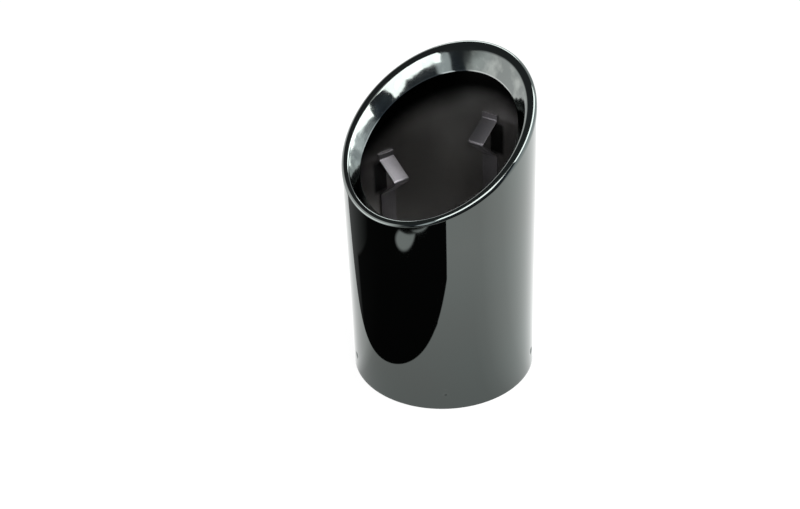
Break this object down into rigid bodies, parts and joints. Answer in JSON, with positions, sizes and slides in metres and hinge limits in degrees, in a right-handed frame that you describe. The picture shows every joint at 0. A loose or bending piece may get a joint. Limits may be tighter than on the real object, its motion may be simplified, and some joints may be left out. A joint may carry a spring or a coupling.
{
  "type": "exhaust tip",
  "caption": "Round slip-on exhaust tip with a slanted, rolled mouth and funnel lip, a slot in its rear edge and bent spring clips inside that grip the pipe.",
  "frame": {"origin": "centre of the rear end, on the plane of the rear edge", "axes": "+Z along the tube's axis from the rear edge to the mouth, +X to the long side of the slanted mouth, where the rear slot also is"},
  "size_m": [0.085, 0.085, 0.1448],
  "materials": {
    "black_chrome": "black chrome plating outside and on the rolled mouth, polished bare steel inside",
    "spring_steel": "plain spring steel strip"
  },
  "bodies": {
    "root": {"tip_shell": "black_chrome", "slot_clip": "spring_steel", "spring_clip_1": "spring_steel", "spring_clip_2": "spring_steel", "spring_clip_3": "spring_steel", "spring_clip_4": "spring_steel"}
  },
  "joints": []
}
